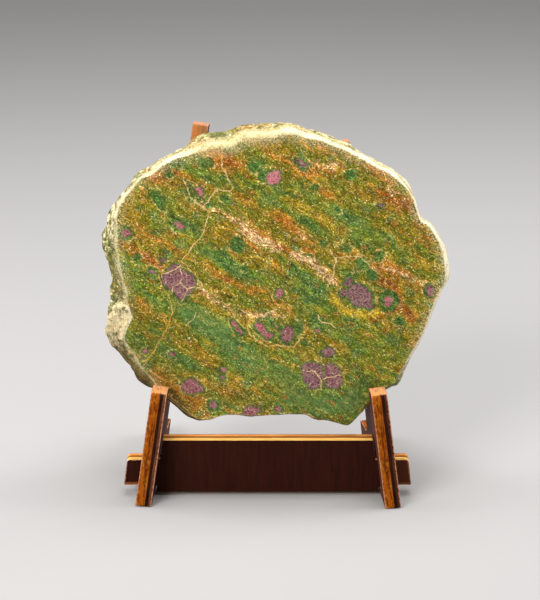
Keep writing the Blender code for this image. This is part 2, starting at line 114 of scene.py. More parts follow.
# rubies on the polished face: (tone from 0 greyed purple to 1 pink, width of the green halo, then the
# corners as x, h, x, h)
RUBIES = [
    (0.15, 0.6, -35.9, 44, -31.6, 48.3, -28.4, 45.9, -24.7, 43.1, -24.3, 40.6, -29.2, 35.2, -32.3, 38.3,
     -35.5, 41.1),
    (0.05, 0.7, 26.4, 39.5, 28.5, 41.6, 30.9, 42, 32.9, 40.8, 34.6, 38.1, 34.6, 36.1, 33.6, 34.6, 31.4,
     34.2, 28.5, 35, 26.5, 37.2),
    (0.05, 0.8, 26, 43.8, 27, 44.6, 28, 43.2, 28.3, 41.3, 26.4, 40.3, 25.4, 41.8),
    (0.1, 0.5, 24, 39.3, 25.6, 40.3, 26.4, 39.3, 26.1, 37.6, 24.7, 37.2),
    (0.15, 0.8, 32.4, 35.5, 34.6, 36.1, 34.8, 34.2, 33.4, 33.6, 32.4, 34),
    (0.8, 2, 38.8, 37.4, 40.2, 38.2, 41.9, 37.4, 41.7, 36, 40.1, 34.5, 38.7, 35.5),
    (0.3, 1, 52.3, 41.4, 53.9, 41.9, 55.4, 40.2, 54.8, 38.3, 53.4, 37.9, 52.2, 39.8),
    (0.35, 0.8, 3.8, 26, 5.8, 27.3, 8.3, 26.7, 8.9, 25.1, 7.9, 23, 6.1, 21.3, 4.5, 22.9),
    (0.15, 0.4, 17.6, 18.5, 19, 19.8, 21, 20, 22.2, 18.8, 21.4, 17.3, 19.8, 16.9, 18.2, 17.5),
    (0.12, 0.5, 11.1, 13.5, 13.3, 14.8, 15.7, 15.2, 17.8, 14.4, 18.4, 10.6, 17.9, 6.9, 15.8, 6, 13.4, 6.8,
     11.7, 9.1),
    (0.18, 0.5, 19, 14, 21.5, 15.3, 23.5, 13.6, 24.8, 11.2, 25.2, 8.2, 24.4, 6.5, 21.6, 6.1, 19.5, 6.9,
     18.7, 10.2),
    (0.7, 0.9, -4.9, 27.2, -3.3, 28.9, -1.7, 27.9, -0.1, 25.4, 1.8, 24.1, 1.2, 23.1, -0.5, 23.1, -2.5,
     24.7),
    (0.8, 0.9, -12.3, 28.6, -11.5, 29, -9.9, 26.7, -8.6, 24.9, -9.2, 24.3, -10.9, 25.7, -11.7, 27.1),
    (0.44, 0.4, -29.3, 7.1, -27.4, 9, -25.8, 9.3, -23.7, 7.6, -21.3, 5.6, -22.1, 4.3, -25.8, 3.4, -28.3,
     4),
    (0.42, 0.5, -9.3, -3.5, -8.1, -1.4, -5.6, -0.3, -4, -1.4, -2.4, -0.3, -2.5, -2.2, -4, -3.9, -6.9,
     -4.1),
    (0.5, 1.2, -19.8, 0.6, -18.4, 1.2, -17, 0.2, -17.2, -1.1, -18.8, -1.5, -19.8, -0.7),
    (0.85, 0.7, 1.9, 38, 2.7, 39.7, 4.1, 39.9, 5, 38.5, 4, 37.4, 2.7, 36.6),
    (0.4, 0.8, 2, -0.7, 3.4, 0.2, 4.6, -0.6, 4.4, -2.1, 2.6, -2.3),
    (0.6, 0.5, -33.4, 17.5, -31.9, 17.8, -31.3, 16.3, -32.3, 15.7),
    (0.85, 0.9, -16.8, 12.1, -15.5, 12.9, -14.1, 11.9, -15.1, 11.3),
    (0.95, 0.5, -1, 77, -0.4, 79.2, 1.3, 80, 3.4, 79.4, 3.9, 77.2, 2.7, 75.6, 1.1, 75, -0.5, 75.4),
    (0.9, 0.5, -24.7, 73.3, -23.5, 74.1, -22.3, 72.9, -22.3, 70.9, -23.3, 71.1, -24.3, 72.1),
    (0.8, 1.2, -31.8, 61.7, -30.2, 62.3, -28.4, 60.7, -29.2, 59.7, -31.4, 60.5),
    (0.55, 1.3, -49.5, 58.3, -48.3, 59.7, -46.9, 59.3, -46.4, 57.7, -47.9, 56.6, -49.1, 57.2),
    (0.2, 0.6, -36.5, 49.6, -35.7, 50.4, -34.7, 49.6, -35.5, 48.4),
    (0.15, 1.2, 8.9, 82.9, 10, 83.5, 12.5, 81.5, 11.7, 80.5, 10.1, 81.3),
    (0.15, 0.5, 35.7, 68.2, 36.5, 69.1, 38.2, 68, 37.6, 67.2, 36.1, 67.6),
    (0.35, 0.7, -16.4, 9.3, -15.8, 9.9, -15, 9.8, -14.8, 9, -15.5, 8.5),
    (0.7, 0.5, -42.6, 18.3, -42, 19, -41.1, 18.8, -40.8, 17.9, -41.6, 17.4),
    (0.85, 0.4, 15.5, 25.8, 16.1, 26.4, 16.9, 26.3, 17.1, 25.5, 16.4, 25),
    (0.25, 1, -39.8, 45.3, -39.1, 46.1, -38.1, 45.9, -37.8, 44.9, -38.7, 44.3),
]
# rubies on the sawn back: (tone, x, h, half length, half width, turn in degrees)
BACK_RUBIES = [
    (0.15, -28, 44, 4.6, 3.8, 30), (0.1, 31.5, 40, 3.4, 2.6, -20), (0.2, 17, 11.5, 5, 3.2, 10),
    (0.55, -4, 57, 2.6, 1.8, -35), (0.8, 12, 76, 1.6, 1.4, 0), (0.6, -38, 24, 2, 1.5, 40),
    (0.35, 42, 60, 2.2, 1.6, -50), (0.7, -14, 18, 1.8, 1.3, 0), (0.25, 2, 33, 2.8, 2, 60),
    (0.5, -20, 73, 2, 1.2, 15), (0.45, 25, 61, 1.5, 1.2, 0), (0.65, 48, 31, 1.6, 1.4, 0),
]
# deep green grains: (x, h, half length, half width, turn in degrees)
GREEN_GRAINS = [
    (0.5, 28.4, 2.2, 1, -58), (-2.4, 78, 1.6, 2, 0), (-31.8, 81.4, 2.2, 1.5, -20),
    (-20.9, 82, 2.4, 1.9, -10), (-33.7, 78.2, 1.7, 1.3, 0), (-36.9, 69.8, 1.6, 3.4, 25),
    (-10.8, 54.8, 2.3, 2.6, 0), (-20.1, 67.6, 1.4, 1.5, 0), (-14.4, 69.7, 2.3, 1.3, -35),
    (-5.5, 80.4, 1.6, 1.6, 0), (-44.2, 50.2, 1.6, 1.4, 0), (36.7, 51.2, 2, 1.9, 0),
    (31.4, 49, 2.9, 2.2, -30), (18.2, 55.6, 1.7, 1.1, -20), (25.7, 54, 2.2, 1.4, -20),
    (22.9, 67, 1.5, 1, -40), (15.2, 74.1, 1.3, 1, 0), (27.4, 78.4, 2.2, 1.8, 0),
    (-7.9, 46.9, 1.3, 1.1, 0), (-26.5, 71.5, 1.2, 2.6, 20), (10, 26.6, 1.5, 2.3, 0),
    (34.6, 45, 2.6, 1.8, -40), (44, 29.6, 2, 1.6, 0), (-38.7, 45.2, 2, 1.6, -30),
]
# cream and ochre veins: (half width, ochre 1 or cream 0, then points as x, h, x, h)
VEINS = [
    (0.3, 0.3, -15.9, 86.3, -15.8, 81.5, -13.7, 77, -12.2, 73.8, -13.2, 72.4, -17.4, 73.3, -20.1, 69.6,
     -22.1, 67.3, -20.1, 65.6, -21.7, 59.2, -23.1, 56.9, -26.6, 52.6, -29.1, 48.9),
    (0.27, 0.5, -28.4, 75.7, -26.6, 70.6, -22.1, 67.3),
    (0.22, 0.95, -32.3, 31.3, -33.9, 27.2, -36.6, 22.1, -38.1, 18.6, -41, 15.8, -41.7, 13.8),
    (0.22, 0.15, 20.7, 52.6, 22.1, 49.4, 21.5, 44.5, 19.5, 40.4),
    (0.15, 0.35, 23.1, 50.6, 30.4, 51.3, 35.8, 46.3),
    (0.2, 0.15, -35.5, 44.4, -33.1, 45.2, -31.2, 46.1, -29.8, 46.9, -29.3, 45.5),
    (0.24, 0.1, -32.9, 38.9, -32.3, 40.5, -30.3, 41.2, -29.6, 42, -28.4, 40.5, -27.4, 39.7, -25.5, 40.2),
    (0.16, 0.15, -27.4, 39.7, -28, 37.9, -29, 36.2),
    (0.22, 0.15, 12.7, 12.3, 15.8, 11.4, 17.8, 9.8, 19.8, 10, 24.5, 10.4),
    (0.26, 0.25, 18, 9.8, 18.1, 6.2),
    (0.24, 0.2, -5.4, 29.9, -3.6, 30.8, -1.5, 30.5, 0, 32, 1.8, 32.6),
    (0.2, 0.15, 17.1, 30.2, 17.6, 29, 20.3, 28.4, 22, 27.2),
    (0.18, 0.45, -29.1, 48.7, -27.1, 47.2, -23.9, 44.2, -22.7, 41.3),
    (0.18, 0.6, -36.6, 43.6, -35.8, 40.8, -34.8, 38.1, -32.8, 34.7, -32.3, 31.3),
    (0.14, 0.2, -24.9, 30.7, -25.3, 29, -27.1, 27.6),
    (0.1, 0.6, -40.3, 11.4, -37.3, 9, -34.6, 8),
    (0.2, 0.45, -35, 4.6, -32.6, 2.1, -29.6, -0.4, -26.4, -3.2, -23.4, -4.9, -20.6, -4.8),
    (0.14, 0.55, -20.6, -4.8, -17.6, -4.3, -14.6, -3.6, -10.4, -3.3),
    (0.3, 0.15, 4.6, -2.4, 6.2, -2.7),
    (0.26, 0.3, 12.6, -3, 14.6, -3.9),
    (0.26, 0.65, -6.3, 29.6, -7, 27, -6, 24.3, -3.4, 21.7, -0.6, 20.9, 3.2, 20.6, 8, 20.2, 10.4, 22.6),
]
# broad colour zones, kind: [(strength, half width, then points along the middle as x, h, x, h)]; the dark
# kind is painted shade
ZONES = {
    "cream": [
        (0.55, 1.5, -19.7, 66.3, -15, 65, -9.7, 62.7), (0.72, 2.5, -8.5, 60.5, -3.3, 56, 2.5, 54),
        (0.75, 1.9, 8, 51.8, 13.7, 49.5, 21.2, 42.8),
        (0.55, 1.5, -23.4, 39.9, -13.6, 33.6, -5.6, 30.6, 0.8, 31.4, 4.5, 30),
        (0.48, 1.9, 38.5, 47.6, 43.5, 45.8, 51.2, 42.2), (0.55, 2.4, 12.6, 82, 21.5, 81.2),
        (0.45, 1.6, 5, 58.6, 13.2, 57), (0.4, 1.2, -46, 52.5, -41, 49.5, -37, 46.5),
        (0.35, 2, -26, 70, -20, 66.5), (0.4, 2.4, 38, 74.5, 48.1, 65.9),
        (0.35, 1.8, -42, 73.4, -38.8, 77),
    ],
    "rust": [
        (0.85, 1.6, -50.2, 55.9, -43.7, 51.8, -36.5, 47.3), (0.75, 2.6, -39.7, 76.1, -31.4, 78.9),
        (0.65, 3, -18.1, 81.3, -9, 82.5), (0.55, 2.6, -31, 75, -22, 75, -8, 70, 6, 62),
        (1.2, 1.5, 37.2, 43.2, 40.8, 42, 43.8, 38, 44.6, 34.5, 48.1, 30.5),
        (0.8, 0.9, 37.4, 31.1, 43.3, 33.9), (0.6, 2.6, 10, 80, 24, 80.5),
        (0.6, 1.8, 17, 88, 27, 83.5, 35, 79.5, 41, 75.5),
        (0.6, 1.5, -8.5, 60.5, 3, 54, 8, 51.8, 17, 46.5), (0.6, 2.2, 27, 74, 33, 71),
        (0.95, 3.2, 38.4, 71, 45.1, 68.6), (0.75, 1.2, 48.5, 62.9, 51.9, 59.6),
        (0.6, 1.6, 48.2, 62.6, 53.6, 57.6), (0.55, 2, -43.3, 35.7, -41.5, 28, -40, 20.3),
        (0.7, 3, -38.5, 10.5, -30, 4, -23.1, 0.5), (0.8, 2.4, -36, 5, -29.5, 0.6, -23, -3.6),
        (0.55, 2.4, -14, 5, -2.1, 6.3), (0.5, 1.7, -21.4, 48.8, -14, 43.6, -6, 39),
        (0.55, 1.5, -6.8, 57, -4.5, 53.6), (0.5, 1.8, 16.9, 64, 20, 61.5, 25, 58.5),
        (0.45, 1.3, 13, 31, 13.5, 22, 17, 21.5), (0.8, 0.6, 18.1, 10.3, 18.7, 10.3),
        (0.55, 1.6, -20, 59, -23.5, 60.5),
    ],
    "green": [
        (0.95, 5, -25.5, 30.6, -18, 26.5, -12.5, 21), (0.75, 6.5, -8, 17.5, 0, 13, 8, 8),
        (0.95, 4.5, 8, 3.5, 16, 1, 26, 0, 29.5, 4), (0.48, 3, 8, 75, 15, 72.5),
        (0.48, 3, 22, 68, 29, 63), (0.5, 3.4, 29, 63, 38, 57.5, 46, 54),
        (0.6, 2.8, -22, 52.5, -14, 47, -6.3, 41.8), (0.6, 3.2, -4, 80, 4, 74, -2, 68),
        (0.5, 1.7, 24.5, 45.5, 30, 45), (0.55, 3.6, 12, 35, 18, 30, 26, 25), (0.5, 2, 38, 22, 46, 24),
        (0.5, 3.4, -48, 47, -44, 39, -36, 33), (0.5, 3, -38, 62, -28, 60.5, -16.5, 63.5),
        (0.55, 3, -40, 26, -36, 20, -28, 16),
    ],
    "yellow": [
        (0.95, 2.1, 21.5, 37, 25, 33, 31, 31.5, 36, 32.6), (0.58, 4.2, 8, 67.5, 17, 65.5, 25, 58),
        (0.45, 2.2, 47, 39, 51, 34), (0.4, 2.6, -18, 58, -8, 50), (0.6, 1.6, -7.5, 51, 0, 50, 5, 45),
        (0.55, 1.3, 1, 20.5, 9, 20.2), (0.4, 2.2, 33, 47, 38, 44), (0.45, 2, -12, 58.5, -15, 62.5),
        (0.6, 1.8, 37.1, 49.4, 42.5, 46.1),
    ],
    # painted shade: the face darker towards the bottom, where the light falls off, and the rim darker under
    # the slab's lower edge
    "dark": [
        (0.6, 5.5, 24, -5, 29.5, 0, 33, 7), (0.4, 13, -46, 20, -30, 2), (0.3, 6, -14, 0, 12, 0),
        (1, 6.5, -57.5, 14, -50, 5, -40, -3), (0.8, 3, -35, -2.5, -29, -7, -20, -9.5, 16, -8.5),
    ],
}


# ---------------- shapes shared by the pieces
def new_piece(name, points, faces, finish, smooth_angle=35.0):
    """A mesh object at the origin from an array of points in metres and a list of faces."""
    mesh = bpy.data.meshes.new(name)
    mesh.from_pydata(points.tolist(), [], faces)
    mesh.validate()
    mesh.shade_smooth()
    mesh.set_sharp_from_angle(angle=radians(smooth_angle))
    piece = bpy.data.objects.new(name, mesh)
    bpy.context.scene.collection.objects.link(piece)
    mesh.materials.append(finish)
    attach(piece, "root")
    return piece


def placed(points, matrix):
    """Points in millimetres, moved by a matrix in millimetres, as metres."""
    turned = points @ np.array(matrix.to_3x3()).T
    return (turned + np.array(matrix.translation)) * MM


def lattice(places):
    """A steady value from 0 to 1 for each whole-number place: the broken part of a large sine."""
    return np.modf(np.abs(np.sin(places @ np.array((12.9898, 78.233, 37.719))) * 43758.5453))[0]


def cloud(points, size):
    """Smooth noise from -1 to 1 whose lumps are size across: lattice values eased between corners."""
    scaled = points / size
    base = np.floor(scaled)
    part = scaled - base
    part = part * part * (3.0 - 2.0 * part)
    total = np.zeros(points.shape[:-1])
    for corner in np.ndindex(2, 2, 2):
        weight = np.prod(np.where(corner, part, 1.0 - part), axis=-1)
        total += weight * lattice(base + np.array(corner))
    return 2.0 * total - 1.0


def rough(points, size, octaves):
    """Noise with finer noise on it, each layer half the size and half the height of the last."""
    return sum(cloud(points + 31.0 * k, size / 2 ** k) / 2 ** k for k in range(octaves))


# ---------------- the stone's shape
STONE_ANGLES = 840
FACE_RINGS = 76
RIM_RINGS = 26
BACK_RINGS = 9
RIM_CROWDING = 1.7            # the rim's rings lie closer together towards the face
STEPS_A_POINT = 12            # points of the smooth outline for each listed one
RIND_RELIEF = 0.55            # depth of the fine pits in a broken rim, at roughness 1
PIT_SIZE = 2.6
PIT_SPREAD = 1.6              # brings the noise of the pits to about -1 to 1
PIT_LEVEL = 0.45              # pits deeper than this go in, the rest stands out
PITS_FROM_FACE = 1.2          # the pits set in over this depth behind the face
PITS_FROM_BACK = 0.8          # and fade out over this depth before the sawn back
LUMPS_FROM_FACE = 2.0         # the lumps set in over this depth
LUMPS = [                     # waves round the rim: (how many, slant with depth, phase, height)
    (9, 0.3, 0.4, 0.4), (14, -0.45, 1.9, 0.35), (23, 0.6, 3.1, 0.3), (31, -0.85, 0.9, 0.25),
    (43, 1.1, 4.4, 0.2), (57, -1.4, 2.2, 0.14),
]


def outline_radius(angles):
    """Distance from the slab's centre to its widest outline: a closed smooth curve through OUTLINE."""
    points = np.array(OUTLINE).reshape(-1, 2) - np.array(SLAB_CENTRE)
    before, after, second = np.roll(points, 1, 0), np.roll(points, -1, 0), np.roll(points, -2, 0)
    t = np.linspace(0.0, 1.0, STEPS_A_POINT, endpoint=False)[:, None, None]
    curve = 0.5 * (2 * points + (after - before) * t
                   + (2 * before - 5 * points + 4 * after - second) * t ** 2
                   + (3 * points - before - 3 * after + second) * t ** 3)
    dense = curve.transpose(1, 0, 2).reshape(-1, 2)
    turn = np.arctan2(dense[:, 1], dense[:, 0]) % (2 * pi)
    order = np.argsort(turn)
    return np.interp(angles, turn[order], np.hypot(*dense.T)[order], period=2 * pi)


def round_rim(table, angles):
    """The columns of a table of places round the rim, each read at these angles."""
    places, *columns = np.array(table, dtype=float).T
    return [np.interp(angles, np.radians(places), column, period=2 * pi) for column in columns]


def lumps(angles, depth):
    """Rough broken rock, about -1 to 1: waves round the rim that slant with depth."""
    return sum(height * np.sin(count * angles + slant * depth + phase)
               for count, slant, phase, height in LUMPS)


def rim_ring(angles, depth):
    """Distance from the centre to the surface at each angle and depth behind the face.

    From the face out to the widest place it is a quarter ellipse where the rim is rolled and a
    straight slope where it is broken; behind that it draws in as the square of the depth."""
    width, widest, rolled, roughness = round_rim(RIM, angles)
    share = np.clip(depth / widest, 0.0, 1.0)
    roll = 1.0 - np.sqrt(np.clip(1.0 - (1.0 - share) ** 2, 0.0, 1.0))
    behind = np.clip((depth - widest) / (SLAB_THICKNESS - widest), 0.0, 1.0)
    ring = outline_radius(angles) - width * (rolled * roll + (1.0 - rolled) * (1.0 - share))
    ring -= BACK_DRAW_IN * behind ** 2
    return ring + roughness * np.clip(depth / LUMPS_FROM_FACE, 0.0, 1.0) * lumps(angles, depth)


def stone_points():
    """The stone's surface on a grid of angle by step, in its own axes.

    Each row of the grid is one ring: first out across the face, then back round the rim, then in
    across the sawn back. The rim also gets fine pits and bumps."""
    angles = np.linspace(0.0, 2 * pi, STONE_ANGLES, endpoint=False)[None, :]
    face = np.linspace(0.0, 1.0, FACE_RINGS + 1)[1:, None]
    depth = SLAB_THICKNESS * np.linspace(0.0, 1.0, RIM_RINGS + 1)[1:, None] ** RIM_CROWDING
    back = np.linspace(1.0, 0.0, BACK_RINGS + 1)[1:-1, None]
    level = 0.0 * angles
    radius = np.concatenate([
        face * rim_ring(angles, level), rim_ring(angles, depth + level),
        back * rim_ring(angles, SLAB_THICKNESS + level),
    ])
    depths = np.concatenate([0.0 * face, depth, 0.0 * back + SLAB_THICKNESS]) + level
    turn = angles + 0.0 * radius
    points = np.stack([radius * np.cos(turn), depths, radius * np.sin(turn)], axis=-1)
    on_rim = (np.clip(depths / PITS_FROM_FACE, 0.0, 1.0)
              * np.clip((SLAB_THICKNESS - depths) / PITS_FROM_BACK, 0.0, 1.0))
    pits = 0.5 + 0.5 * rough(points, PIT_SIZE, 4) / PIT_SPREAD
    roughness = round_rim(RIM, angles)[3]
    inwards = RIND_RELIEF * roughness * on_rim * (np.clip(pits, 0.0, 1.0) - PIT_LEVEL)
    points[..., 0] -= inwards * np.cos(turn)
    points[..., 2] -= inwards * np.sin(turn)
    return points + np.array((SLAB_CENTRE[0], 0.0, SLAB_CENTRE[1]))


def ring_faces(rows, columns):
    """Quads between neighbouring rings, and a fan at each end, round one of two last points."""
    row = np.arange(rows - 1)[:, None] * columns
    here = np.arange(columns)[None, :]
    after = (here + 1) % columns
    quads = np.stack([row + here, row + columns + here, row + columns + after, row + after], -1)
    front, rear = rows * columns, rows * columns + 1
    last = (rows - 1) * columns
    sides = list(zip(here[0].tolist(), after[0].tolist()))
    fans = [(front, a, b) for a, b in sides] + [(rear, last + b, last + a) for a, b in sides]
    return quads.reshape(-1, 4).tolist() + fans


# ---------------- where the stone's colours are
FAR = 1e3                     # farther away than anything on the stone
RUBY_TAPER = 0.35             # how fast a ruby narrows with depth
BACK_HALO = 0.8               # width of the green halo round a ruby on the back
EDGE_WANDER = 0.35            # how far noise moves the edges of rubies and zones
EDGE_NOISE = 4.0              # size of its lumps
VEIN_CROOK = 0.4              # how far noise bends a vein
VEIN_NOISE = 2.6              # size of its lumps
VEIN_SHARE = 0.85             # share of a vein's half width at which the stored distance is 1


def nearest_on_line(x, h, line):
    """Distance to a line of points, the signed distance to it (left of its run is above zero), and
    how often the line crosses to the right of each point."""
    best = signed = np.full(x.shape, 1e9)
    crossings = np.zeros(x.shape, dtype=int)
    points = list(zip(line[::2], line[1::2]))
    for (x0, h0), (x1, h1) in zip(points, points[1:]):
        run = np.array((x1 - x0, h1 - h0))
        length = np.hypot(*run)
        along = ((x - x0) * run[0] + (h - h0) * run[1]) / length ** 2
        part = np.clip(along, 0.0, 1.0)
        away = np.hypot(x - x0 - part * run[0], h - h0 - part * run[1])
        side = ((h - h0) * run[0] - (x - x0) * run[1]) / length
        closer = away < best
        best = np.where(closer, away, best)
        signed = np.where(closer, side, signed)
        crossings += ((h0 > h) != (h1 > h)) & (x < (x1 - x0) * (h - h0) / (h1 - h0 + 1e-9) + x0)
    return best, signed, crossings


def inside_outline(x, h, corners):
    """Signed distance to a closed outline of corners: below zero inside."""
    best, _, crossings = nearest_on_line(x, h, corners + corners[:2])
    return np.where(crossings % 2 == 1, -best, best)


def inside_oval(x, h, middle_x, middle_h, length, width, turn):
    """About the signed distance to an oval, from how far out a point is in units of its half axes."""
    c, s = cos(radians(turn)), sin(radians(turn))
    u = (c * (x - middle_x) + s * (h - middle_h)) / length
    v = (-s * (x - middle_x) + c * (h - middle_h)) / width
    return (np.hypot(u, v) - 1.0) * min(length, width)


def stone_marks(points):
    """Fields that the stone's finish reads, one value a point, from the lists above.

    ruby and green_grain are signed distances in millimetres, below zero inside; ruby_tone is the tone
    of the nearest ruby; vein is the signed distance to the nearest vein over VEIN_SHARE of its half
    width, and near_vein its true distance; a zone is its strength times e to the minus square of the
    distance over the half width."""
    x = points[..., 0] + EDGE_WANDER * rough(points + 7.0, EDGE_NOISE, 2)
    h = points[..., 2] + EDGE_WANDER * rough(points + 57.0, EDGE_NOISE, 2)
    depth = points[..., 1]

    rubies = [(colour, halo_width, inside_outline(x, h, corners) + RUBY_TAPER * depth)
              for colour, halo_width, *corners in RUBIES]
    rubies += [(colour, BACK_HALO, inside_oval(x, h, *oval) + RUBY_TAPER * (SLAB_THICKNESS - depth))
               for colour, *oval in BACK_RUBIES]
    ruby, halo, tone = np.full(x.shape, FAR), np.full(x.shape, FAR), np.zeros(x.shape)
    for colour, halo_width, edge in rubies:
        tone = np.where(edge < ruby, colour, tone)
        ruby = np.minimum(ruby, edge)
        halo = np.minimum(halo, edge - halo_width)
    for oval in GREEN_GRAINS:
        halo = np.minimum(halo, inside_oval(x, h, *oval) + RUBY_TAPER * depth)

    near, vein, ochre = np.full(x.shape, FAR), np.full(x.shape, FAR), np.zeros(x.shape)
    crooked_x = x + VEIN_CROOK * rough(points + 21.0, VEIN_NOISE, 2)
    crooked_h = h + VEIN_CROOK * rough(points + 91.0, VEIN_NOISE, 2)
    for half_width, colour, *line in VEINS:
        away, signed, _ = nearest_on_line(crooked_x, crooked_h, line)
        closer = away < near
        near = np.where(closer, away, near)
        vein = np.where(closer, signed / (VEIN_SHARE * half_width), vein)
        ochre = np.where(closer, colour, ochre)

    out_x, out_h = points[..., 0] - SLAB_CENTRE[0], points[..., 2] - SLAB_CENTRE[1]
    around = np.arctan2(out_h, out_x) % (2 * pi)
    cream, rust, pale, painted_glare = round_rim(RIND_TINTS, around)
    out = np.hypot(out_x, out_h) - rim_ring(around, 0.0 * around)
    marks = {
        "place": points[..., [0, 2, 1]], "ruby": ruby, "ruby_tone": tone, "green_grain": halo,
        "near_vein": near, "vein": np.clip(vein, -50.0, 50.0), "vein_ochre": ochre,
        "rim_cream": cream, "rim_rust": rust, "rim_rough": 1.0 - round_rim(RIM, around)[2],
        "edge_pale": pale, "edge_glare": painted_glare,
        "from_edge": np.where(depth > 0.0, np.hypot(np.maximum(out, 0.0), depth), out),
    }
    for kind, bands in ZONES.items():
        field = np.zeros(x.shape)
        for strength, half_width, *line in bands:
            away = nearest_on_line(x, h, line)[0]
            field = np.maximum(field, strength * np.exp(-(away / half_width) ** 2))
        marks[kind + "_zone"] = field
    return marks


def make_stone(finish):
    """The slab, as one closed surface, with its marks stored on its points."""
    grid = stone_points()
    middle, height = SLAB_CENTRE
    ends = np.array([(middle, 0.0, height), (middle, SLAB_THICKNESS, height)])
    points = np.concatenate([grid.reshape(-1, 3), ends])
    tilt = Matrix.Rotation(-radians(SLAB_TILT), 4, "X")
    turn = Matrix.Rotation(-radians(SLAB_TURN), 4, "Z")
    seat = Matrix.Translation(FRONT_FOOT + Vector((0.0, FACE_AT_SEAT, SEAT_Z)))
    world = placed(points, seat @ turn @ tilt)
    stone = new_piece("polished_slab", world, ring_faces(len(grid), STONE_ANGLES), finish)
    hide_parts("ruby_zoisite_slab")
    for name, values in stone_marks(points).items():
        kind, key = ("FLOAT_VECTOR", "vector") if values.ndim == 2 else ("FLOAT", "value")
        mark = stone.data.attributes.new(name, kind, "POINT")
        mark.data.foreach_set(key, values.astype(np.float32).ravel())
    return stone


# ---------------- finishes
# each of these adds nodes to a tree and gives back an output; an input may be a number, a colour or
# another node's output, whose tree the new nodes join
def feed(sockets, fed):
    """Links or sets sockets, fed by name or by number."""
    for key, value in fed.items():
        socket = sockets[key]
        if isinstance(value, bpy.types.NodeSocket):
            value.id_data.links.new(value, socket)
        elif socket.type == "RGBA" and len(value) == 3:
            socket.default_value = (*value, 1.0)
        else:
            socket.default_value = value


def node(kind, fed=(), tree=None, **settings):
    """A new node, fed by name or in order. A tree is given only where no input is another's output."""
    fed = fed if isinstance(fed, dict) else dict(enumerate(fed))
    tree = tree or next(value.id_data for value in fed.values() if isinstance(value, bpy.types.NodeSocket))
    made = tree.nodes.new("ShaderNode" + kind)
    for name, value in settings.items():
        setattr(made, name, value)
    feed(made.inputs, fed)
    return made


def group(tree, **fed):
    """The outputs of a node group."""
    return node("Group", fed, node_tree=tree).outputs


def attribute(tree, name, output="Fac"):
    return node("Attribute", tree=tree, attribute_name=name).outputs[output]


def maths(operation, *values):
    return node("Math", values, operation=operation).outputs[0]


def add(*values):
    return reduce(partial(maths, "ADD"), values)


def times(*values):
    return reduce(partial(maths, "MULTIPLY"), values)


def less(a, b):
    return maths("SUBTRACT", a, b)


def swing(noise, reach):
    """Noise about its middle, times reach."""
    return times(add(noise, -0.5), reach)


def choose(share, a, b):
    """A number from a to b by share."""
    return add(times(a, less(1.0, share)), times(b, share))


def ease(value, low, high, start=0.0, end=1.0):
    """Smooth step from start at low to end at high."""
    return node("MapRange", (value, low, high, start, end), interpolation_type="SMOOTHSTEP").outputs[0]


def mix(share, a, b, blend="MIX"):
    """A colour from a to b by share. 6 and 7 are the node's colour inputs and 2 its colour output."""
    return node("Mix", {"Factor": share, 6: a, 7: b}, data_type="RGBA", blend_type=blend).outputs[2]


def lay(under, *layers):
    """Colours laid one by one on colour under, each as (share, strength of that share, colour)."""
    for share, strength, over in layers:
        under = mix(times(share, strength), under, over)
    return under


def ramp(value, *stops):
    """A colour by value, straight between the stops, each (place, colour)."""
    made = node("ValToRGB", (value,))
    elements = made.color_ramp.elements
    while len(elements) < len(stops):
        elements.new(0.5)
    for element, (place, colour) in zip(elements, stops):
        element.position = place
        element.color = (*colour, 1.0)
    return made.outputs[0]


def stretched(vector, turn, lengths, shift=(0, 0, 0)):
    """Coordinates turned back by turn (radians about each axis) and divided by lengths."""
    return node("Mapping", (vector, shift, turn, lengths), vector_type="TEXTURE").outputs[0]


def noise(vector, scale, detail, roughness, distortion=0, output="Fac"):
    fed = {"Vector": vector, "Scale": scale, "Detail": detail, "Roughness": roughness,
           "Distortion": distortion}
    return node("TexNoise", fed).outputs[output]


def cells(vector, scale, feature="F1", output="Distance"):
    return node("TexVoronoi", {"Vector": vector, "Scale": scale}, feature=feature).outputs[output]


def shifted(vector, noise_colour, reach):
    """A vector moved by a noise colour, up to reach either way."""
    centred = node("VectorMath", (noise_colour, (0.5, 0.5, 0.5)), operation="SUBTRACT").outputs[0]
    scaled = node("VectorMath", {0: centred, "Scale": 2.0 * reach}, operation="SCALE").outputs[0]
    return node("VectorMath", (vector, scaled), operation="ADD").outputs[0]


def new_group(name, inputs, colours, values):
    """A shader node group with named sockets, and the inputs and outputs to build it with.

    inputs gives each input's usual value: a vector has none and a colour has four numbers. colours
    and values name the outputs."""
    tree = bpy.data.node_groups.new(name, "ShaderNodeTree")
    for socket, usual in inputs.items():
        kind = {type(None): "Vector", float: "Float", tuple: "Color"}[type(usual)]
        made = tree.interface.new_socket(socket, in_out="INPUT", socket_type="NodeSocket" + kind)
        if usual is not None:
            made.default_value = usual
    for socket in (*colours, *values):
        kind = "Color" if socket in colours else "Float"
        tree.interface.new_socket(socket, in_out="OUTPUT", socket_type="NodeSocket" + kind)
    given = tree.nodes.new("NodeGroupInput").outputs
    return tree, given, tree.nodes.new("NodeGroupOutput").inputs


def new_finish(name, roughness, **constants):
    """A material with a Principled shader, and the tree and shader to build it with.

    constants set more of the shader's sockets; a _ stands for a space in a socket's name."""
    finish = bpy.data.materials.new(name)
    finish.use_nodes = True
    shader = finish.node_tree.nodes["Principled BSDF"]
    shader.inputs["Roughness"].default_value = roughness
    for socket, value in constants.items():
        shader.inputs[socket.replace("_", " ")].default_value = value
    return finish, finish.node_tree, shader


def dress(shader, colour, roughness, height, relief):
    """Feeds a shader. relief is the depth in metres, in the shading only, of a height of 1."""
    bump = node("Bump", {"Distance": relief, "Height": height})
    feed(shader.inputs, {"Base Color": colour, "Roughness": roughness, "Normal": bump.outputs[0]})


FOLIATION = -32.0             # degrees, the rock's streaks run down to the right


